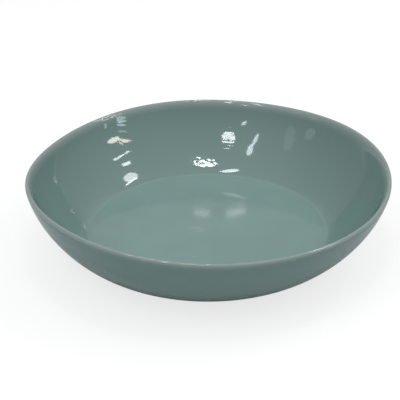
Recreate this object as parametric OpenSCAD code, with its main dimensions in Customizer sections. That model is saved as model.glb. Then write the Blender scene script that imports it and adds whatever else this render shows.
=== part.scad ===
// Low, wide serving bowl in glazed stoneware, formed by hand, so its rim wanders a little.
// The origin is the middle of the face that the foot stands on, with +Z up.

/* [Bowl] */
// Radius of the rim, outside the glaze
rim_r = 150; // [120:1:180]
// Height of the rim above the table
rim_h = 69; // [55:1:85]
// Radius of the flat underside, where the wall begins to rise
base_r = 90; // [75:1:105]
// Lean of the wall at the rim, in degrees from upright
rim_lean = 12.5; // [6:0.5:20]
// Thickness of the wall at its foot, where it leaves the underside
heel_t = 4.5; // [4:0.5:6]
// Thickness of the wall at its middle
wall_t = 7; // [5:0.5:8]
// Thickness of the rounded lip
lip_t = 4.5; // [3:0.5:6]
// Thickness of the floor at its middle
floor_t = 7; // [5:0.5:10]
// Rise of the floor from its middle to the edge of the underside
floor_rise = 1; // [0:0.5:3]
// Height over which the floor blends into the wall
crease_blend = 1; // [0.5:0.5:5]

/* [Rim waves] */
// How far the largest wave moves the rim in and out
rim_wander = 1.2; // [0:0.2:3]
// How far the largest wave lifts and drops the rim
rim_roll = 3; // [0:0.5:5]

/* [Glaze] */
// Thickness of the glaze
glaze_t = 0.3; // [0.2:0.1:0.5]
// Width of the bare clay between the glaze and the foot
bare_band = 5; // [3:0.5:8]

/* [Foot] */
// Distance from the edge of the underside in to the foot
foot_inset = 10; // [9:0.5:16]
// Width of the foot ring
foot_w = 7; // [5:0.5:10]
// Height of the underside above the table
foot_h = 5; // [4.5:0.5:8]
// Rounding of the foot's lower edges
foot_round = 1.5; // [0.5:0.5:2]
// Thickness of the slip between the foot and the underside
slip_t = 0.5; // [0.3:0.1:1]
// Radius of the slip coves on both sides of the foot
slip_cove = 2; // [1.5:0.5:3]

/* [Hidden] */
$fn = 96;

// Steps round the bowl, and along each stretch of its section
round_steps = 72;
floor_steps = 3;
wall_steps = 12;
lip_steps = 6;

// Waves round the rim: their count, their share of the sizes above, the direction of a crest in degrees
wander_shares = [[2, 0.4, 60], [3, 1, -9], [4, 0.3, 33]];
roll_shares = [[2, 1, 41], [3, 0.3, -15], [4, 0.25, 27]];
// Power by which the waves die away from the rim down to the underside
wave_fade = 1.5;

// Handles of the wall's curve, as shares of its reach and of its rise
heel_share = 0.38;
rim_share = 0.5;

lip_r = lip_t / 2;
foot_r = base_r - foot_inset;
foot_in_r = foot_r - foot_w;
foot_top_z = foot_h - slip_t;
glaze_end_r = foot_r + bare_band;
base_glaze_r = foot_in_r - bare_band;

// Directions at the rim, in radius and height: up along the wall, and out of it
rim_along = [sin(rim_lean), cos(rim_lean)];
rim_out = [cos(rim_lean), -sin(rim_lean)];

// Outside of the wall, over the glaze, from the edge of the underside to the lip
lip_centre = [rim_r - lip_r, rim_h - lip_r];
wall_start = [base_r, foot_h - glaze_t];
wall_end = lip_centre + lip_r * rim_out;
start_handle = wall_start + [heel_share * (wall_end.x - wall_start.x), 0];
end_handle = wall_end - rim_share * (wall_end.y - wall_start.y) * rim_along;

function wall_curve(s) =
    pow(1 - s, 3) * wall_start
    + 3 * s * pow(1 - s, 2) * start_handle
    + 3 * s * s * (1 - s) * end_handle
    + pow(s, 3) * wall_end;

function wall_along(s) =
    let (way = pow(1 - s, 2) * (start_handle - wall_start)
        + 2 * s * (1 - s) * (end_handle - start_handle)
        + s * s * (wall_end - end_handle))
    way / norm(way);

function wall_out(s) = [wall_along(s).y, -wall_along(s).x];

// From the heel through the full thickness of the middle to the lip
function thickness(s) =
    heel_t + (lip_t - heel_t) * s + 4 * (wall_t - (heel_t + lip_t) / 2) * s * (1 - s);

function floor_z(r) = foot_h + floor_t + floor_rise * pow(r / base_r, 2);

// The larger of two heights, rounded where they come closer than the blend
function blended_max(a, b, blend) =
    let (near = max(blend - abs(a - b), 0))
    max(a, b) + near * near / (4 * blend);

// Points of the section in radius and height, at a depth of skin below the finished surface
function floor_point(r, skin) = [r, floor_z(r) - skin];

function inner_point(s, skin) =
    let (p = wall_curve(s) - (thickness(s) - skin) * wall_out(s))
    [p.x, blended_max(p.y, floor_z(p.x) - skin, crease_blend)];

function lip_point(angle, skin) =
    lip_centre + (lip_r - skin) * (cos(angle) * rim_out + sin(angle) * rim_along);

function outer_point(s, skin) = wall_curve(s) - skin * wall_out(s);

// From the middle of the floor up the wall and over the lip
function inside_line(skin) = concat(
    [for (i = [0:floor_steps - 1]) floor_point(base_r * i / floor_steps, skin)],
    [for (i = [0:wall_steps]) inner_point(i / wall_steps, skin)],
    [for (i = [1:lip_steps]) lip_point(180 * (1 - i / lip_steps), skin)]
);

// From the outer edge of the lip down the wall and in below to the end of the glaze
function outside_line(skin) = concat(
    [for (i = [wall_steps:-1:0]) outer_point(i / wall_steps, skin)],
    [[glaze_end_r, foot_h - glaze_t + skin]]
);

function without_first(list) = [for (i = [1:len(list) - 1]) list[i]];

function reversed(list) = [for (i = [len(list) - 1:-1:0]) list[i]];

function sum(list, i = 0) = i < len(list) ? list[i] + sum(list, i + 1) : 0;

function wave(shares, angle) = sum([for (row = shares) row[1] * cos(row[0] * (angle - row[2]))]);

// A point of the section carried to an angle, and moved by the waves as far as its height lets it
function carried(p, angle) =
    let (
        lift = pow(max(p.y - foot_h, 0) / (rim_h - foot_h), wave_fade),
        r = p.x + lift * rim_wander * wave(wander_shares, angle),
        z = p.y + lift * rim_roll * wave(roll_shares, angle)
    )
    [r * cos(angle), r * sin(angle), z];

function ring_points(line) =
    [for (p = line) for (j = [0:round_steps - 1]) carried(p, 360 * j / round_steps)];

// The two triangles between steps a and b of two neighbouring rings
function ring_faces(low, high) =
    [for (j = [0:round_steps - 1])
        let (k = (j + 1) % round_steps, a = low * round_steps, b = high * round_steps)
        each [[a + j, a + k, b + k], [a + j, b + k, b + j]]];

// A solid whose section runs out from the axis and back to it
module full_round(line) {
    middle = [for (i = [1:len(line) - 2]) line[i]];
    rings = len(middle);
    top = rings * round_steps;
    bottom = top + 1;
    last = (rings - 1) * round_steps;
    polyhedron(
        points = concat(ring_points(middle), [[0, 0, line[0].y], [0, 0, line[len(line) - 1].y]]),
        faces = concat(
            [for (i = [0:rings - 2]) each ring_faces(i, i + 1)],
            [for (j = [0:round_steps - 1]) [top, (j + 1) % round_steps, j]],
            [for (j = [0:round_steps - 1]) [bottom, last + j, last + (j + 1) % round_steps]]
        )
    );
}

// A solid whose section is a closed loop clear of the axis
module open_round(line) {
    rings = len(line);
    polyhedron(
        points = ring_points(line),
        faces = [for (i = [0:rings - 1]) each ring_faces(i, (i + 1) % rings)]
    );
}

// Fired stoneware under the glaze: floor, wall and lip
module clay_body() {
    color("#c9b89c")
    full_round(concat(
        inside_line(glaze_t),
        without_first(outside_line(glaze_t)),
        [[0, foot_h]]
    ));
}

// Ring that the bowl stands on, rounded at its lower edges
module foot_ring() {
    color("#bda98a")
    rotate_extrude()
    translate([foot_in_r, 0])
    union() {
        translate([0, foot_round]) square([foot_w, foot_top_z - foot_round]);
        translate([foot_round, 0]) square([foot_w - 2 * foot_round, foot_top_z]);
        translate([foot_round, foot_round]) circle(foot_round);
        translate([foot_w - foot_round, foot_round]) circle(foot_round);
    }
}

// Section of one cove, whose corner is at the origin below the underside
module cove_section() {
    difference() {
        translate([0, -slip_cove]) square(slip_cove);
        translate([slip_cove, -slip_cove]) circle(slip_cove);
    }
}

// Slip that was brushed on to hold the foot: a thin bed, and a cove on each side
module foot_slip() {
    color("#cdbb9b")
    rotate_extrude()
    union() {
        translate([foot_in_r, foot_top_z]) square([foot_w, slip_t]);
        translate([foot_r, foot_h]) cove_section();
        translate([foot_in_r, foot_h]) mirror([1, 0]) cove_section();
    }
}

// Glaze that was poured inside and carried over the lip
module inside_glaze() {
    color("#7f9893")
    full_round(concat(inside_line(0), reversed(inside_line(glaze_t))));
}

// Glaze down the outside and round under the edge, ending in a plain line
module outside_glaze() {
    color("#728a86")
    open_round(concat(outside_line(0), reversed(outside_line(glaze_t))));
}

// Disc of glaze inside the foot
module base_glaze() {
    color("#728a86")
    translate([0, 0, foot_h - glaze_t]) cylinder(r = base_glaze_r, h = glaze_t);
}

clay_body();
foot_ring();
foot_slip();
inside_glaze();
outside_glaze();
base_glaze();
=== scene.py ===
# Low, wide hand-formed serving bowl in glossy glazed stoneware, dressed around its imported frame
import math

import bpy
from mathutils import Matrix, Vector


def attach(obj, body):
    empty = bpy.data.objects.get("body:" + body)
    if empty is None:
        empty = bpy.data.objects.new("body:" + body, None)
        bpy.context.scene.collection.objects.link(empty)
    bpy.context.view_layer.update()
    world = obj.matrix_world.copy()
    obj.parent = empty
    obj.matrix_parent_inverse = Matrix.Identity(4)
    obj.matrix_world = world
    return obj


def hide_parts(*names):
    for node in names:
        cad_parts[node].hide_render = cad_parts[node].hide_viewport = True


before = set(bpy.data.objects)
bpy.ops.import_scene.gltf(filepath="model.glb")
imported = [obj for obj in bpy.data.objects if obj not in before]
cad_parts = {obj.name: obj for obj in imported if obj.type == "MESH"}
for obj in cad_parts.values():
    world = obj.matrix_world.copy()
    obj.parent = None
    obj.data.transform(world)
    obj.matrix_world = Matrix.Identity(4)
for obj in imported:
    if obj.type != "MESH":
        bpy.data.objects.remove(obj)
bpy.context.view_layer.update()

mm = 0.001
mathNode = "ShaderNodeMath"
vectorNode = "ShaderNodeVectorMath"

# The bowl's driving sizes in mm and its waves, as the solids have them. The eased lip is the scene's own
bowl = {
    "rimRadius": 150.0,
    "rimHeight": 69.0,
    "baseRadius": 90.0,
    "rimLean": 12.5,        # degrees from upright
    "heelThickness": 4.5,
    "wallThickness": 7.0,   # at the middle of the wall
    "lipThickness": 4.5,
    "floorThickness": 7.0,
    "floorRise": 1.0,
    "creaseBlend": 1.0,
    "glazeThickness": 0.3,
    "footHeight": 5.0,
    "glazeEndRadius": 85.0,
    "heelShare": 0.38,      # handles of the wall's curve
    "rimShare": 0.5,
    "wander": 1.2,          # rim in and out
    "roll": 3.0,            # rim up and down
    "waveFade": 1.5,        # power with which the waves grow from the foot to the rim
    "wanderWaves": [(2, 0.4, 60), (3, 1.0, -9), (4, 0.3, 33)],   # count, share, crest in degrees
    "rollWaves": [(2, 1.0, 41), (3, 0.3, -15), (4, 0.25, 27)],
    "lipEase": 7.0,         # height over which the inside eases over into the lip
    "easeHandle": 0.55,     # share of the ease that the handles of its curve reach
    "lipRound": 1.8,        # radius of the lip's outer edge
}
bowlMiddle = Vector((0, 0, bowl["rimHeight"] * mm / 2))


def toLinear(hexColour):
    # An sRGB hex value as linear red, green and blue with full alpha, by the standard's own curve
    channels = [int(hexColour[i:i + 2], 16) / 255 for i in (1, 3, 5)]
    return [c / 12.92 if c <= 0.04045 else ((c + 0.055) / 1.055) ** 2.4 for c in channels] + [1.0]


def addNode(tree, kind, inputs=(), output=0, **settings):
    # One node with its settings. Its inputs, in a row or by name, are links or plain values. It gives
    # back one output, or all of them for None
    node = tree.nodes.new(kind)
    for name, value in settings.items():
        setattr(node, name, value)
    for key, source in inputs.items() if isinstance(inputs, dict) else enumerate(inputs):
        if isinstance(source, bpy.types.NodeSocket):
            tree.links.new(source, node.inputs[key])
        else:
            node.inputs[key].default_value = source
    return node.outputs if output is None else node.outputs[output]


def clearedTree(owner):
    # The node tree of a material or of the world, emptied
    owner.use_nodes = True
    owner.node_tree.nodes.clear()
    return owner.node_tree


def addObject(name, data):
    added = bpy.data.objects.new(name, data)
    bpy.context.scene.collection.objects.link(added)
    return added


def skyWay(azimuth, elevation):
    # The way from the bowl towards an azimuth, clockwise from its back as seen from above, and an elevation
    turn = math.radians(azimuth)
    up = math.radians(elevation)
    return Vector((math.sin(turn) * math.cos(up), math.cos(turn) * math.cos(up), math.sin(up)))


# The camera stands where the photograph's did
photo = {
    "width": 400,
    "distance": 0.9,                  # from the middle of the bowl, in metres
    "elevation": 28.3,
    "focalPixels": 1070.0,
    "targetPixel": (207.7, 206.15),   # where the middle of the bowl lies in the photograph
    "sensor": 36.0,
    "clipEnd": 50.0,
}


def makeCamera():
    data = bpy.data.cameras.new("photoCamera")
    data.sensor_width = photo["sensor"]
    data.lens = photo["focalPixels"] * photo["sensor"] / photo["width"]
    centre = photo["width"] / 2
    data.shift_x = (centre - photo["targetPixel"][0]) / photo["width"]
    data.shift_y = (photo["targetPixel"][1] - centre) / photo["width"]
    data.clip_end = photo["clipEnd"]
    camera = addObject("photoCamera", data)
    up = math.radians(photo["elevation"])
    camera.location = bowlMiddle + photo["distance"] * Vector((0, -math.cos(up), math.sin(up)))
    camera.rotation_euler = (bowlMiddle - camera.location).to_track_quat("-Z", "Y").to_euler()
    bpy.context.scene.camera = camera


# How finely the bowl is turned, and how deep the marks of the hand are
turning = {
    "segments": 600,
    "floorSteps": 16,
    "wallSteps": 88,
    "lipSteps": 22,
    "backFloorSteps": 2,     # the hidden face of a glaze is coarser
    "backWallSteps": 14,
    "backLipSteps": 6,
    "creaseTop": 0.6,        # share of the wall's curve below which the crease is looked for, by halving
    "halvings": 40,
    "creaseLead": 0.04,      # share of the curve by which the blend at the crease starts before it
    "slopeStep": 0.01,       # share of the curve over which its slope is taken where the lip joins
    "samePoint": 1e-6,       # in metres
    "dentDepth": 0.12,       # depths and widths in mm
    "dentWidth": 34.0,
    "dentRise": 0.15,        # share of the curve over which the dents come in above the crease
    "outsideDents": 0.3,     # share of them low on the outside, down to none at the lip
    "rippleDepth": 0.02,
    "rippleWidth": 12.0,
    "noiseDetails": {"Dent": 0.0, "Ripple": 1.0},   # how far each is broken up into finer noise
    "noiseRoughness": 0.4,
    "seed": 7,
}

# Shares of the pale colour that the glaze takes where it thins over the lip
lipPale = {
    "growth": 1.4,           # on the inside it is full before the crest, at 1 / 1.4 of the ease
    "roundLoss": 0.5,        # lost over the outer round
    "outside": 0.4,          # left at the top of the outside
    "outsideReach": 0.03,    # share of the outside's curve over which it ends
}

# The bowl's section: points in radius and height, in mm, as in the solids. In the functions below, s is the
# share of the way along the wall's curve from the foot to the lip, and skin a depth under the glaze's face
lean = math.radians(bowl["rimLean"])
rimAlong = Vector((math.sin(lean), math.cos(lean)))
rimOut = Vector((math.cos(lean), -math.sin(lean)))
lipRadius = bowl["lipThickness"] / 2
lipCentre = Vector((bowl["rimRadius"] - lipRadius, bowl["rimHeight"] - lipRadius))
wallStart = Vector((bowl["baseRadius"], bowl["footHeight"] - bowl["glazeThickness"]))
wallEnd = lipCentre + lipRadius * rimOut
startHandle = wallStart + Vector((bowl["heelShare"] * (wallEnd.x - wallStart.x), 0))
endHandle = wallEnd - bowl["rimShare"] * (wallEnd.y - wallStart.y) * rimAlong


def curvePoint(s, start, first, last, end):
    # The point at the share s of a curve from start to end, with a handle at each
    return ((1 - s) ** 3 * start + 3 * s * (1 - s) ** 2 * first
            + 3 * s * s * (1 - s) * last + s ** 3 * end)


def wallCurve(s):
    return curvePoint(s, wallStart, startHandle, endHandle, wallEnd)


def wallOut(s):
    # The way out of the wall, square to its curve
    along = ((1 - s) ** 2 * (startHandle - wallStart) + 2 * s * (1 - s) * (endHandle - startHandle)
             + s * s * (wallEnd - endHandle)).normalized()
    return Vector((along.y, -along.x))


def thickness(s):
    # A parabola through the thicknesses at the heel, the middle and the lip
    heel, middle, lip = bowl["heelThickness"], bowl["wallThickness"], bowl["lipThickness"]
    return heel + (lip - heel) * s + 4 * (middle - (heel + lip) / 2) * s * (1 - s)


def wallInside(s, skin):
    return wallCurve(s) - (thickness(s) - skin) * wallOut(s)


def floorHeight(radius):
    rise = bowl["floorRise"] * (radius / bowl["baseRadius"]) ** 2
    return bowl["footHeight"] + bowl["floorThickness"] + rise


def blendedMax(a, b, blend):
    # The larger of two heights, rounded off where they come near each other
    near = max(blend - abs(a - b), 0)
    return max(a, b) + near * near / (4 * blend)


def innerPoint(s, skin, blend=0.0):
    # The inside of the wall, or the floor where that is higher
    wall = wallInside(s, skin)
    floor = floorHeight(wall.x) - skin
    return Vector((wall.x, blendedMax(wall.y, floor, blend) if blend else max(wall.y, floor)))


def creaseShare(skin):
    # Where on the wall's curve its inside comes up out of the floor
    low, high = 0.0, turning["creaseTop"]
    for i in range(turning["halvings"]):
        s = (low + high) / 2
        wall = wallInside(s, skin)
        low, high = (s, high) if wall.y < floorHeight(wall.x) - skin else (low, s)
    return low


def smoothStep(x):
    # Runs softly from 0 at 0 to 1 at 1
    x = min(max(x, 0), 1)
    return x * x * (3 - 2 * x)


def lipLine(skin, easeSteps, roundSteps):
    # Over the lip: the inside eases over to the crest, and a small round turns it down to the outside
    small = bowl["lipRound"]
    joint = 1 - bowl["lipEase"] / (3 * bowl["rimShare"] * (wallEnd.y - wallStart.y))
    start = innerPoint(joint, skin)
    way = (start - innerPoint(joint - turning["slopeStep"], skin)).normalized()
    centre = lipCentre + (lipRadius - small) * rimOut
    centre.y = bowl["rimHeight"] - small
    crest = centre + (small - skin) * rimAlong
    first = start + bowl["easeHandle"] * bowl["lipEase"] * way
    last = crest - bowl["easeHandle"] * (crest - start).dot(rimOut) * rimOut
    line = []
    for i in range(1, easeSteps + 1):
        s = i / easeSteps
        point = curvePoint(s, start, first, last, crest)
        line.append((point, 1 - smoothStep(s), smoothStep(s * lipPale["growth"])))
    for i in range(1, roundSteps + 1):
        turn = math.pi / 2 * (1 - i / roundSteps)
        point = centre + (small - skin) * (math.cos(turn) * rimOut + math.sin(turn) * rimAlong)
        line.append((point, 0.0, 1 - lipPale["roundLoss"] * i / roundSteps))
    line.append((wallEnd - skin * rimOut, 0.0, lipPale["outside"]))
    return line, joint


def insideLine(skin, floorSteps, wallSteps, lipSteps):
    # From the middle of the floor up the wall and over the lip: points, each with its share of dents and of
    # pale lip. The hidden face turns sharply at the crease, and the finished one is blended there
    blend = 0.0 if skin else bowl["creaseBlend"]
    lip, joint = lipLine(skin, lipSteps, lipSteps // 2)
    crease = creaseShare(skin)
    first = crease - (turning["creaseLead"] if blend else 0.0)
    edge = innerPoint(first, skin, blend).x
    line = []
    for i in range(floorSteps):
        radius = edge * i / floorSteps
        line.append((Vector((radius, floorHeight(radius) - skin)), 0.0, 0.0))
    for i in range(wallSteps + 1):
        s = first + (joint - first) * i / wallSteps
        dents = min(max((s - crease) / turning["dentRise"], 0), 1)
        line.append((innerPoint(s, skin, blend), dents, 0.0))
    return line + lip


def outsideLine(skin, wallSteps):
    # From the outer edge of the lip down the wall and in below to the end of the glaze
    line = []
    for i in range(wallSteps, -1, -1):
        s = i / wallSteps
        dents = turning["outsideDents"] * (1 - s)
        pale = lipPale["outside"] * smoothStep(1 - (1 - s) / lipPale["outsideReach"])
        line.append((wallCurve(s) - skin * wallOut(s), dents, pale))
    under = bowl["footHeight"] - bowl["glazeThickness"] + skin
    line.append((Vector((bowl["glazeEndRadius"], under)), 0.0, 0.0))
    return line


def sectionMesh(name, line, looped):
    # The section as a row of points in metres. Each has the way that a dent pushes it, its share of pale lip
    # and the distance run along the section
    points = [point for point, dents, pale in line]
    last = len(points) - 1
    mesh = bpy.data.meshes.new(name)
    mesh.from_pydata([(p.x * mm, 0, p.y * mm) for p in points], [(i, i + 1) for i in range(last)], [])
    pushes = []
    runs = [0.0]
    for i, (point, dents, pale) in enumerate(line):
        before = points[i - 1] if i else points[-2 if looped else 0]
        after = points[i + 1] if i < last else points[1 if looped else -1]
        along = (after - before).normalized()
        pushes += [-along.y * dents, 0, along.x * dents]
        if i < last:
            runs.append(runs[-1] + (after - point).length * mm)
    mesh.attributes.new("push", "FLOAT_VECTOR", "POINT").data.foreach_set("vector", pushes)
    for key, values in (("lipShare", [pale for point, dents, pale in line]), ("run", runs)):
        mesh.attributes.new(key, "FLOAT", "POINT").data.foreach_set("value", values)
    return addObject(name, mesh)


# Where the rings and dimples of forming stay sharp under the glaze: angle in degrees and height in mm of the
# middle, spread along the wall and up it in mm, and the share of rings and of dimples
handMarks = {
    "backRings": {"middle": (81.0, 38.0), "spread": (7.0, 8.0), "rings": 1.9, "dimples": 0.2},
    "footDimples": {"middle": (91.5, 21.0), "spread": (14.0, 4.5), "rings": 0.35, "dimples": 0.75},
    "leftRimRings": {"middle": (131.0, 65.0), "spread": (13.0, 6.0), "rings": 0.6, "dimples": 0.0},
    "leftDimple": {"middle": (127.5, 44.0), "spread": (8.0, 5.0), "rings": 0.0, "dimples": 0.35},
    "rightRings": {"middle": (52.0, 50.0), "spread": (20.0, 9.0), "rings": 0.5, "dimples": 0.3},
    "floorMarks": {"middle": (76.0, 12.2), "spread": (36.0, 3.0), "rings": 0.0, "dimples": 0.02},
}

# What the turning tree is given, under the names that its inputs show, with lengths in metres
treeValues = {
    "Segments": turning["segments"],
    "Rim Height": bowl["rimHeight"] * mm,
    "Foot Height": bowl["footHeight"] * mm,
    "Wander": bowl["wander"] * mm,
    "Roll": bowl["roll"] * mm,
    "Wave Fade": bowl["waveFade"],
    "Dent Depth": turning["dentDepth"] * mm,
    "Dent Width": turning["dentWidth"] * mm,
    "Ripple Depth": turning["rippleDepth"] * mm,
    "Ripple Width": turning["rippleWidth"] * mm,
    "Seed": turning["seed"],
}


def waveSum(tree, angle, waves):
    # Sum of the rim's waves at an angle, each with its count, share and crest
    total = 0.0
    for count, share, crest in waves:
        shift = -math.radians(count * crest)
        turned = addNode(tree, mathNode, (angle, count, shift), operation="MULTIPLY_ADD")
        wave = addNode(tree, mathNode, (turned,), operation="COSINE")
        total = addNode(tree, mathNode, (wave, share, total), operation="MULTIPLY_ADD")
    return total


def markSpot(tree, angle, radius, height, mark):
    # A soft round spot about the middle of a mark. The angle between is taken as a chord, so that it wraps
    middleAngle, middleHeight = mark["middle"]
    turned = addNode(tree, mathNode, (angle, math.radians(middleAngle)), operation="SUBTRACT")
    half = addNode(tree, mathNode, (turned, 0.5), operation="MULTIPLY")
    half = addNode(tree, mathNode, (half,), operation="SINE")
    chord = addNode(tree, mathNode, (half, 2.0), operation="MULTIPLY")
    along = addNode(tree, mathNode, (radius, chord), operation="MULTIPLY")
    rise = addNode(tree, mathNode, (height, middleHeight * mm), operation="SUBTRACT")
    squares = 0.0
    for way, spread in zip((rise, along), reversed(mark["spread"])):
        way = addNode(tree, mathNode, (way, spread * mm), operation="DIVIDE")
        squares = addNode(tree, mathNode, (way, way, squares), operation="MULTIPLY_ADD")
    fall = addNode(tree, mathNode, (squares, -1.0), operation="MULTIPLY")
    return addNode(tree, mathNode, (fall,), operation="EXPONENT")


def buildTurningTree():
    # Turns a section round the axis, gives it the rim's waves, and presses the marks of the hand into it
    tree = bpy.data.node_groups.new("turnedBySection", "GeometryNodeTree")
    tree.interface.new_socket("Section", in_out="INPUT", socket_type="NodeSocketGeometry")
    for name, value in treeValues.items():
        kind = "NodeSocketInt" if isinstance(value, int) else "NodeSocketFloat"
        tree.interface.new_socket(name, in_out="INPUT", socket_type=kind)
    tree.interface.new_socket("Material", in_out="INPUT", socket_type="NodeSocketMaterial")
    tree.interface.new_socket("Geometry", in_out="OUTPUT", socket_type="NodeSocketGeometry")
    given = addNode(tree, "NodeGroupInput", output=None)

    # A grid with a row for each point of the section and a column for each segment, and one more to close it
    rows = addNode(tree, "GeometryNodeAttributeDomainSize", {"Geometry": given["Section"]}, "Point Count")
    columns = addNode(tree, mathNode, (given["Segments"], 1.0), operation="ADD")
    grid = addNode(tree, "GeometryNodeMeshGrid", {"Vertices X": columns, "Vertices Y": rows})
    index = addNode(tree, "GeometryNodeInputIndex")
    column = addNode(tree, mathNode, (index, 0.5), operation="ADD")   # half a point, clear of rounding
    column = addNode(tree, mathNode, (column, rows), operation="DIVIDE")
    column = addNode(tree, mathNode, (column,), operation="FLOOR")
    passed = addNode(tree, mathNode, (column, rows), operation="MULTIPLY")
    row = addNode(tree, mathNode, (index, passed), operation="SUBTRACT")
    turned = addNode(tree, mathNode, (column, given["Segments"]), operation="DIVIDE")
    angle = addNode(tree, mathNode, (turned, math.tau), operation="MULTIPLY")
    cosine = addNode(tree, mathNode, (angle,), operation="COSINE")
    sine = addNode(tree, mathNode, (angle,), operation="SINE")
    section = {"position": "FLOAT_VECTOR", "push": "FLOAT_VECTOR", "lipShare": "FLOAT", "run": "FLOAT"}
    for name, kind in section.items():
        value = addNode(tree, "GeometryNodeInputNamedAttribute", {"Name": name}, "Attribute", data_type=kind)
        section[name] = addNode(tree, "GeometryNodeSampleIndex", {
            "Geometry": given["Section"], "Value": value, "Index": row}, data_type=kind)

    # The waves grow from the foot to the rim and leave the axis where it is
    place = addNode(tree, "ShaderNodeSeparateXYZ", (section["position"],), None)
    above = addNode(tree, mathNode, (place["Z"], given["Foot Height"]), operation="SUBTRACT")
    above = addNode(tree, mathNode, (above, 0.0), operation="MAXIMUM")
    reach = addNode(tree, mathNode, (given["Rim Height"], given["Foot Height"]), operation="SUBTRACT")
    lift = addNode(tree, mathNode, (above, reach), operation="DIVIDE")
    lift = addNode(tree, mathNode, (lift, given["Wave Fade"]), operation="POWER")
    offAxis = addNode(tree, mathNode, (place["X"], turning["samePoint"]), operation="GREATER_THAN")
    lift = addNode(tree, mathNode, (lift, offAxis), operation="MULTIPLY")
    waved = []
    for part, most, waves in (("X", "Wander", "wanderWaves"), ("Z", "Roll", "rollWaves")):
        most = addNode(tree, mathNode, (lift, given[most]), operation="MULTIPLY")
        waves = waveSum(tree, angle, bowl[waves])
        waved.append(addNode(tree, mathNode, (most, waves, place[part]), operation="MULTIPLY_ADD"))
    radius, height = waved

    # The points and their pushes, turned to the angle of their column
    push = addNode(tree, "ShaderNodeSeparateXYZ", (section["push"],), None)
    swept = []
    for outward, up in ((radius, height), (push["X"], push["Z"])):
        x = addNode(tree, mathNode, (outward, cosine), operation="MULTIPLY")
        y = addNode(tree, mathNode, (outward, sine), operation="MULTIPLY")
        swept.append(addNode(tree, "ShaderNodeCombineXYZ", (x, y, up)))
    smooth, push = swept

    # Dents and ripples are noise across the surface, of a real width and depth
    uneven = 0.0
    for name, detail in turning["noiseDetails"].items():
        scale = addNode(tree, mathNode, (1.0, given[name + " Width"]), operation="DIVIDE")
        noise = addNode(tree, "ShaderNodeTexNoise", {
            "Vector": smooth, "W": given["Seed"], "Scale": scale, "Detail": detail,
            "Roughness": turning["noiseRoughness"]}, noise_dimensions="4D")
        noise = addNode(tree, mathNode, (noise, 0.5), operation="SUBTRACT")
        span = addNode(tree, mathNode, (given[name + " Depth"], 2.0), operation="MULTIPLY")
        uneven = addNode(tree, mathNode, (noise, span, uneven), operation="MULTIPLY_ADD")
    dented = addNode(tree, vectorNode, (push, uneven, smooth), operation="MULTIPLY_ADD")
    body = addNode(tree, "GeometryNodeSetPosition", {"Geometry": grid, "Position": dented})

    # What the glaze reads: the pale lip, the run along the section, and where rings and dimples show
    stored = {"lipShare": section["lipShare"], "run": section["run"], "rings": 0.0, "dimples": 0.0}
    for mark in handMarks.values():
        spot = markSpot(tree, angle, radius, height, mark)
        for name in ("rings", "dimples"):
            terms = (spot, mark[name], stored[name])
            stored[name] = addNode(tree, mathNode, terms, operation="MULTIPLY_ADD")
    for name, value in stored.items():
        body = addNode(tree, "GeometryNodeStoreNamedAttribute", {
            "Geometry": body, "Name": name, "Value": value}, data_type="FLOAT", domain="POINT")
    body = addNode(tree, "GeometryNodeMergeByDistance", {
        "Geometry": body, "Distance": turning["samePoint"]})
    body = addNode(tree, "GeometryNodeFlipFaces", {"Mesh": body})
    body = addNode(tree, "GeometryNodeSetShadeSmooth", {"Geometry": body, "Shade Smooth": True})
    body = addNode(tree, "GeometryNodeRealizeInstances", {"Geometry": body})
    body = addNode(tree, "GeometryNodeSetMaterial", {"Geometry": body, "Material": given["Material"]})
    addNode(tree, "NodeGroupOutput", {"Geometry": body}, None)
    return tree


def turnPiece(name, line, looped, material, tree):
    # A section turned by the tree, then made a plain mesh at the origin
    section = sectionMesh(name + "Section", line, looped)
    modifier = section.modifiers.new("turned", "NODES")
    modifier.node_group = tree
    values = {**treeValues, "Material": material}
    for item in tree.interface.items_tree:
        if item.name in values:
            modifier[item.identifier] = values[item.name]
    evaluated = section.evaluated_get(bpy.context.evaluated_depsgraph_get())
    mesh = bpy.data.meshes.new_from_object(evaluated)
    mesh.name = name
    bpy.data.objects.remove(section)
    print(name, len(mesh.polygons), "faces")
    return addObject(name, mesh)


# Glossy stoneware glaze, poured and fired to a coat of glass: a little darker in patches, paler and greyer
# where it runs thin over the lip, with a slight orange peel, and rings and dimples of forming in places
# Its colours carry painted shade too: the inside wall is darker than the floor, and the outside darker high
# up than low down
glazeLook = {
    "floor": "#76908c",           # paler than the wall's; the step at the crease is painted shade for the lesser light on the wall
    # darker than the floor's: painted shade for the lesser light on the wall
    "wall": "#6a837e",
    # the outside is paler low down and darker high up: painted light and shade that even out how the light
    # falls down it
    "outsideLowPaintedLight": "#66837f",
    "outsideHighPaintedShade": "#5b7672",
    "edgeBack": (-0.5, 2.5),      # where the floor's colour gives way to the wall's darker one, painted shade, from the crease, in mm
    "edgeFront": (-8.0, 12.0),    # towards the front it runs out softly
    "edgeTurns": (75.0, 30.0),    # how far back the one ends and the other begins
    "pooled": "#667f7b",
    "pooledNoise": (0.3, 0.7),    # patches come up between these values of the mottle's noise
    "pooledShare": 0.35,          # and have at most this much of the pooled colour
    "thin": "#82918d",
    "roughness": 0.055,
    "lowRoughness": 0.075,        # of the coat on the floor
    "ior": 1.5,
    "mottleWidth": 40.0,          # widths and depths in mm
    "peelWidth": 6.0,
    "peelDepth": 0.015,
    "lowPeel": 0.25,              # share of the peel that is left low down, where the coat ran together
    "ringWidth": 2.6,
    "ringLength": 30.0,
    "ringDepth": 0.16,
    "dimpleWidth": 4.0,
    "dimpleDepth": 0.3,
}

# How far each pattern's noise is broken up into finer noise
details = {"mottle": 3.0, "peel": 1.0, "ring": 1.0, "dimple": 1.0, "cloud": 4.0, "grit": 2.0}


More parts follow.
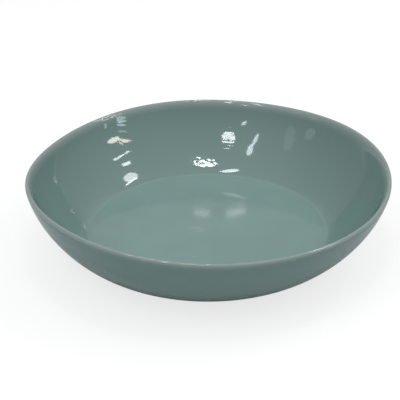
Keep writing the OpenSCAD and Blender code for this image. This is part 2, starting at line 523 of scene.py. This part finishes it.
def glazeMaterial(name, lowColour, highColour, measure, edgeBack, edgeFront):
    # The low colour gives way to the high one between the two ends of an edge, in mm; this step is painted
    # shade. The edge lies elsewhere at the back than at the front. The measure picks what its ends are,
    # radii or heights
    material = bpy.data.materials.new(name)
    tree = clearedTree(material)
    place = addNode(tree, "ShaderNodeTexCoord", output="Object")
    parts = addNode(tree, "ShaderNodeSeparateXYZ", (place,), None)
    back, front = (depth * mm for depth in glazeLook["edgeTurns"])
    forward = addNode(tree, "ShaderNodeMapRange", {
        "Value": parts["Y"], "From Min": back, "From Max": front}, interpolation_type="SMOOTHSTEP")
    low, high = (addNode(tree, mathNode, (forward, (b - a) * mm, a * mm), operation="MULTIPLY_ADD")
                 for a, b in zip(edgeBack, edgeFront))
    reach = addNode(tree, vectorNode, (place, measure), operation="MULTIPLY")
    reach = addNode(tree, vectorNode, (reach,), "Value", operation="LENGTH")
    climb = addNode(tree, "ShaderNodeMapRange", {
        "Value": reach, "From Min": low, "From Max": high}, interpolation_type="SMOOTHSTEP")

    noises = {}
    for pattern in ("mottle", "peel", "dimple"):
        noises[pattern] = addNode(tree, "ShaderNodeTexNoise", {
            "Vector": place, "Scale": 1 / (glazeLook[pattern + "Width"] * mm), "Detail": details[pattern]})
    stored = {}
    for mark in ("lipShare", "run", "rings", "dimples"):
        stored[mark] = addNode(tree, "ShaderNodeAttribute", output="Fac", attribute_name=mark)
    length = 1 / (glazeLook["ringLength"] * mm)
    width = 1 / (glazeLook["ringWidth"] * mm)
    unrolled = addNode(tree, "ShaderNodeCombineXYZ", (parts["X"], parts["Y"], stored["run"]))
    unrolled = addNode(tree, vectorNode, (unrolled, (length, length, width)), operation="MULTIPLY")
    noises["ring"] = addNode(tree, "ShaderNodeTexNoise", {
        "Vector": unrolled, "Scale": 1.0, "Detail": details["ring"]})

    least, most = glazeLook["pooledNoise"]
    patches = addNode(tree, "ShaderNodeMapRange", {
        "Value": noises["mottle"], "From Min": least, "From Max": most, "To Max": glazeLook["pooledShare"]})
    colour = toLinear(lowColour)
    for share, added in ((climb, highColour), (patches, glazeLook["pooled"]),
                         (stored["lipShare"], glazeLook["thin"])):
        colour = addNode(tree, "ShaderNodeMix", {
            "Factor": share, "A": colour, "B": toLinear(added)}, "Result", data_type="RGBA")

    kept = addNode(tree, "ShaderNodeMapRange", {"Value": climb, "To Min": glazeLook["lowPeel"]})
    peel = addNode(tree, mathNode, (noises["peel"], kept), operation="MULTIPLY")
    height = addNode(tree, mathNode, (peel, glazeLook["peelDepth"]), operation="MULTIPLY")
    for pattern in ("ring", "dimple"):
        depth = glazeLook[pattern + "Depth"]
        depth = addNode(tree, mathNode, (stored[pattern + "s"], depth), operation="MULTIPLY")
        height = addNode(tree, mathNode, (noises[pattern], depth, height), operation="MULTIPLY_ADD")
    bump = addNode(tree, "ShaderNodeBump", {"Height": height, "Strength": 1.0, "Distance": mm})
    gloss = addNode(tree, "ShaderNodeMapRange", {
        "Value": climb, "To Min": glazeLook["lowRoughness"], "To Max": glazeLook["roughness"]})
    shader = addNode(tree, "ShaderNodeBsdfPrincipled", {
        "Base Color": colour, "Roughness": gloss, "IOR": glazeLook["ior"], "Normal": bump})
    addNode(tree, "ShaderNodeOutputMaterial", {"Surface": shader}, None)
    return material


# Bare fired stoneware: a buff body with fine dark grog, thrown and wiped, dull and slightly gritty
clayLook = {
    "colour": "#b9a787",
    "warm": "#a8906c",
    "cloudWidth": 25.0,        # widths and depths in mm
    "grog": "#6e5c45",
    "grogSpacing": 1.6,
    "grogEdge": (0.12, 0.2),   # a grain is full and gone this far from its middle, as shares of the spacing
    "grogShare": 0.8,
    "roughness": 0.85,
    "gritWidth": 0.7,
    "gritDepth": 0.05,
}

# Slip of the same clay, brushed into the corners of the foot and fired: paler, finer and almost without grog
slipLook = {
    "colour": "#c8b898",
    "warm": "#b7a07c",
    "cloudWidth": 9.0,
    "grog": "#8a765a",
    "grogSpacing": 1.2,
    "grogEdge": (0.12, 0.2),
    "grogShare": 0.25,
    "roughness": 0.7,
    "gritWidth": 1.5,
    "gritDepth": 0.06,
}


def clayMaterial(name, look):
    material = bpy.data.materials.new(name)
    tree = clearedTree(material)
    place = addNode(tree, "ShaderNodeTexCoord", output="Object")
    noises = {}
    for pattern in ("cloud", "grit"):
        noises[pattern] = addNode(tree, "ShaderNodeTexNoise", {
            "Vector": place, "Scale": 1 / (look[pattern + "Width"] * mm), "Detail": details[pattern]})
    cells = addNode(tree, "ShaderNodeTexVoronoi", {
        "Vector": place, "Scale": 1 / (look["grogSpacing"] * mm)}, "Distance")
    full, none = look["grogEdge"]
    specks = addNode(tree, "ShaderNodeMapRange", {
        "Value": cells, "From Min": full, "From Max": none, "To Min": look["grogShare"], "To Max": 0.0})
    colour = toLinear(look["colour"])
    for share, added in ((noises["cloud"], "warm"), (specks, "grog")):
        colour = addNode(tree, "ShaderNodeMix", {
            "Factor": share, "A": colour, "B": toLinear(look[added])}, "Result", data_type="RGBA")
    bump = addNode(tree, "ShaderNodeBump", {
        "Height": noises["grit"], "Strength": 1.0, "Distance": look["gritDepth"] * mm})
    shader = addNode(tree, "ShaderNodeBsdfPrincipled", {
        "Base Color": colour, "Roughness": look["roughness"], "Normal": bump})
    addNode(tree, "ShaderNodeOutputMaterial", {"Surface": shader}, None)
    return material


# Pale floor that is white to the camera and light grey in reflections, and keeps the bowl's shadow. The
# light of the room is the sum of the parts below
studio = {
    "floorSize": 12.0,
    "floorBounce": "#e6e6e6",    # what the floor sends back to the bowl
    "floorMirrored": "#d2d2d2",
    "floorShown": 0.25,          # lit share of the white that the camera sees, the rest glows
    "white": "#ffffff",
    "room": 0.325,               # radiance all round
    "ceiling": 0.66,             # added towards the zenith
    "ceilingPower": 2.0,
    "lowPower": 30.0,            # how close to the table the low light stays
    "sides": {                   # axis and its sign, where, and what is added there
        "left": ("X", -1.0, "low", 1.4),
        "front": ("Y", -1.0, "low", 0.23),
        "right": ("X", 1.0, "high", 0.30),
        "leftHigh": ("X", -1.0, "high", 0.20),
        "rightLow": ("X", 1.0, "low", -0.30),
    },
    "glow": 0.31,                # soft light from the left, in front and high up
    "glowWay": (-132, 40),       # azimuth and elevation
    "glowPower": 6.0,
    "lampDistance": 1.5,         # in metres
}


def makeFloor():
    half = studio["floorSize"] / 2
    corners = [(-half, -half, 0), (half, -half, 0), (half, half, 0), (-half, half, 0)]
    mesh = bpy.data.meshes.new("floor")
    mesh.from_pydata(corners, [], [(0, 1, 2, 3)])
    floor = addObject("floor", mesh)
    material = bpy.data.materials.new("paleFloor")
    tree = clearedTree(material)
    white = toLinear(studio["white"])
    path = addNode(tree, "ShaderNodeLightPath", output=None)
    mirrored = addNode(tree, mathNode, (path["Is Glossy Ray"], path["Is Transmission Ray"]),
                       operation="MAXIMUM")
    seen = addNode(tree, mathNode, (path["Is Camera Ray"], mirrored), operation="MAXIMUM")
    shown = addNode(tree, mathNode, (mirrored, studio["floorShown"]), operation="MAXIMUM")
    glow = addNode(tree, "ShaderNodeEmission", {"Color": white, "Strength": 1.0})
    pale = addNode(tree, "ShaderNodeMix", {
        "Factor": mirrored, "A": white, "B": toLinear(studio["floorMirrored"])}, "Result", data_type="RGBA")
    lit = addNode(tree, "ShaderNodeBsdfDiffuse", {"Color": pale})
    shown = addNode(tree, "ShaderNodeMixShader", (shown, glow, lit))
    bounce = addNode(tree, "ShaderNodeBsdfDiffuse", {"Color": toLinear(studio["floorBounce"])})
    mixed = addNode(tree, "ShaderNodeMixShader", (seen, bounce, shown))
    addNode(tree, "ShaderNodeOutputMaterial", {"Surface": mixed}, None)
    mesh.materials.append(material)


def makeWorld():
    # Soft room light, brighter towards the ceiling, with more or less on each side and a soft glow high up
    world = bpy.data.worlds.new("studioWorld")
    bpy.context.scene.world = world
    tree = clearedTree(world)
    way = addNode(tree, "ShaderNodeTexCoord", output="Generated")
    parts = addNode(tree, "ShaderNodeSeparateXYZ", (way,), None)
    high = addNode(tree, mathNode, (parts["Z"], 0.0), operation="MAXIMUM")
    low = addNode(tree, mathNode, (1.0, high), operation="SUBTRACT")
    low = addNode(tree, mathNode, (low, studio["lowPower"]), operation="POWER")
    levels = {"low": low, "high": high}
    ceiling = addNode(tree, mathNode, (high, studio["ceilingPower"]), operation="POWER")
    light = addNode(tree, mathNode, (ceiling, studio["ceiling"], studio["room"]), operation="MULTIPLY_ADD")
    for axis, sign, level, added in studio["sides"].values():
        toward = addNode(tree, mathNode, (parts[axis], sign), operation="MULTIPLY")
        toward = addNode(tree, mathNode, (toward, 0.0), operation="MAXIMUM")
        toward = addNode(tree, mathNode, (toward, levels[level]), operation="MULTIPLY")
        light = addNode(tree, mathNode, (toward, added, light), operation="MULTIPLY_ADD")
    toward = addNode(tree, vectorNode, (way, skyWay(*studio["glowWay"])), "Value", operation="DOT_PRODUCT")
    toward = addNode(tree, mathNode, (toward, 0.0), operation="MAXIMUM")
    toward = addNode(tree, mathNode, (toward, studio["glowPower"]), operation="POWER")
    light = addNode(tree, mathNode, (toward, studio["glow"], light), operation="MULTIPLY_ADD")
    surface = addNode(tree, "ShaderNodeBackground", {"Color": toLinear(studio["white"]), "Strength": light})
    addNode(tree, "ShaderNodeOutputWorld", {"Surface": surface}, None)


# Lamps of the room: azimuth, elevation and roll in degrees, length and width in metres, and radiance of the
# lit face. They stand at the studio's lamp distance and are elliptical, unless they say otherwise
lamps = {
    "ceilingPanel": {"way": (173, 81, 27), "size": (0.25, 0.13), "radiance": 26, "colour": "#ffffff"},
    "ceilingLeft": {"way": (-78, 80.6, 52), "size": (0.25, 0.1), "radiance": 16, "colour": "#f6fcff"},
    "frontLeftHigh": {"way": (-157.5, 54, 88), "size": (0.27, 0.085), "radiance": 18, "colour": "#f6fcff"},
    "leftHigh": {"way": (-128.6, 58.4, 67), "size": (0.27, 0.085), "radiance": 13, "colour": "#ecf7ff"},
    "leftMiddle": {"way": (-131.5, 48.9, 82), "size": (0.3, 0.062), "radiance": 12, "colour": "#ecf7ff"},
    "frontLeftLow": {"way": (-147.7, 38.4, 110), "size": (0.15, 0.05), "radiance": 12, "colour": "#ffffff"},
    "rightWarm": {"way": (98.8, 35.9, 26), "size": (0.24, 0.085), "radiance": 15, "colour": "#fff1e8"},
    "rightWarmHigh": {"way": (105.6, 41.3, 34), "size": (0.23, 0.064), "radiance": 15, "colour": "#fff1e8"},
    "rightTube": {"way": (91.7, 46.5, 20), "size": (0.34, 0.025), "radiance": 20, "colour": "#eefbff",
                  "shape": "RECTANGLE"},
    "rightShort": {"way": (85.8, 51.7, 36), "size": (0.15, 0.048), "radiance": 18, "colour": "#f4fbff",
                   "shape": "RECTANGLE"},
    "rightHigh": {"way": (66.5, 56.7, 17), "size": (0.27, 0.2), "radiance": 11, "colour": "#f6faff"},
    "rightEdge": {"way": (57.7, 57.1, 39), "size": (0.23, 0.036), "radiance": 18, "colour": "#ffffff",
                  "shape": "RECTANGLE"},
    "rightLowTop": {"way": (114.8, 26.1, 23), "size": (0.185, 0.05), "radiance": 8, "colour": "#e8f6ff"},
    "rightLowEnd": {"way": (113.1, 28.8, 43), "size": (0.19, 0.05), "radiance": 8, "colour": "#e8f6ff"},
    "rightFaint": {"way": (110.3, 34.3, 45), "size": (0.18, 0.05), "radiance": 4, "colour": "#e8f6ff"},
    "leftWindow": {"way": (-108.5, 35.7, 66), "size": (0.46, 0.17), "radiance": 0.8, "colour": "#e8f2ff"},
    "leftDoor": {"way": (-98.8, 24.4, 91), "size": (0.27, 0.17), "radiance": 1.0, "colour": "#e8f2ff"},
    "backMiddle": {"way": (-1.4, 23.4, 0), "size": (0.02, 0.004), "radiance": 2.6, "colour": "#ffffff",
                   "distance": 0.317},
    "backRight": {"way": (5.9, 22.9, -10), "size": (0.024, 0.0045), "radiance": 2.6, "colour": "#ffffff",
                  "distance": 0.317},
    "rightWindow": {"way": (106, 15, 127), "size": (0.55, 0.07), "radiance": 5, "colour": "#eef6ff"},
}


def makeLamps():
    for name, lamp in lamps.items():
        azimuth, elevation, roll = lamp["way"]
        length, width = lamp["size"]
        data = bpy.data.lights.new(name, "AREA")
        data.shape = lamp.get("shape", "ELLIPSE")
        data.size = length
        data.size_y = width
        data.energy = lamp["radiance"] * math.pi * length * width
        if data.shape == "ELLIPSE":
            data.energy *= math.pi / 4
        data.color = toLinear(lamp["colour"])[:3]
        light = addObject(name, data)
        light.visible_camera = False
        away = skyWay(azimuth, elevation)
        east = skyWay(azimuth + 90, 0)
        roll = math.radians(roll)
        along = math.cos(roll) * east + math.sin(roll) * east.cross(away)
        turned = Matrix((along, away.cross(along), away)).transposed().to_4x4()
        place = bowlMiddle + lamp.get("distance", studio["lampDistance"]) * away
        light.matrix_world = Matrix.Translation(place) @ turned


def makeBowl():
    tree = buildTurningTree()
    crease = innerPoint(creaseShare(0), 0)
    edges = [[crease.x + shift for shift in glazeLook[edge]] for edge in ("edgeBack", "edgeFront")]
    # inside: the floor's colour gives way to a darker wall colour above the crease, painted shade
    glaze = glazeMaterial("insideStonewareGlaze", glazeLook["floor"], glazeLook["wall"], (1, 1, 0), *edges)
    rise = (crease.y, bowl["rimHeight"])
    # outside: paler low down, darker high up, painted light and shade
    outerGlaze = glazeMaterial("outsideStonewareGlaze", glazeLook["outsideLowPaintedLight"], glazeLook["outsideHighPaintedShade"],
                               (0, 0, 1), rise, rise)
    clay = clayMaterial("bareBuffStoneware", clayLook)
    slip = clayMaterial("brushedBuffSlip", slipLook)

    skin = bowl["glazeThickness"]
    fine = (turning["floorSteps"], turning["wallSteps"], turning["lipSteps"])
    coarse = (turning["backFloorSteps"], turning["backWallSteps"], turning["backLipSteps"])
    innerFace = insideLine(skin, *coarse)
    outerFace = outsideLine(skin, turning["backWallSteps"])
    inside = insideLine(0, *fine) + innerFace[::-1]
    outside = outsideLine(0, turning["wallSteps"] // 2) + outerFace[::-1]
    underside = [(Vector((0, bowl["footHeight"])), 0.0, 0.0)]
    insideGlaze = turnPiece("insideGlazeCoat", inside, False, glaze, tree)
    outsideGlaze = turnPiece("outsideGlazeCoat", outside + outside[:1], True, outerGlaze, tree)
    clayBody = turnPiece("stonewareBody", innerFace + outerFace[1:] + underside, False, clay, tree)
    pieces = ((insideGlaze, "inside_glaze", "glaze"), (outsideGlaze, "outside_glaze", "glaze"),
              (clayBody, "clay_body", "stoneware"))
    for piece, node, slot in pieces:
        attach(piece, "root")
        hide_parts(node)
    for node, material in (("foot_ring", clay), ("foot_slip", slip), ("base_glaze", outerGlaze)):
        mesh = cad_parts[node].data
        mesh.materials.clear()
        mesh.materials.append(material)


makeCamera()
print("camera placed")
makeWorld()
makeFloor()
makeLamps()
print("studio lit by", len(lamps), "lamps")
makeBowl()
print("bowl turned and glazed")
bpy.context.scene.view_settings.view_transform = "Standard"
bpy.context.view_layer.update()
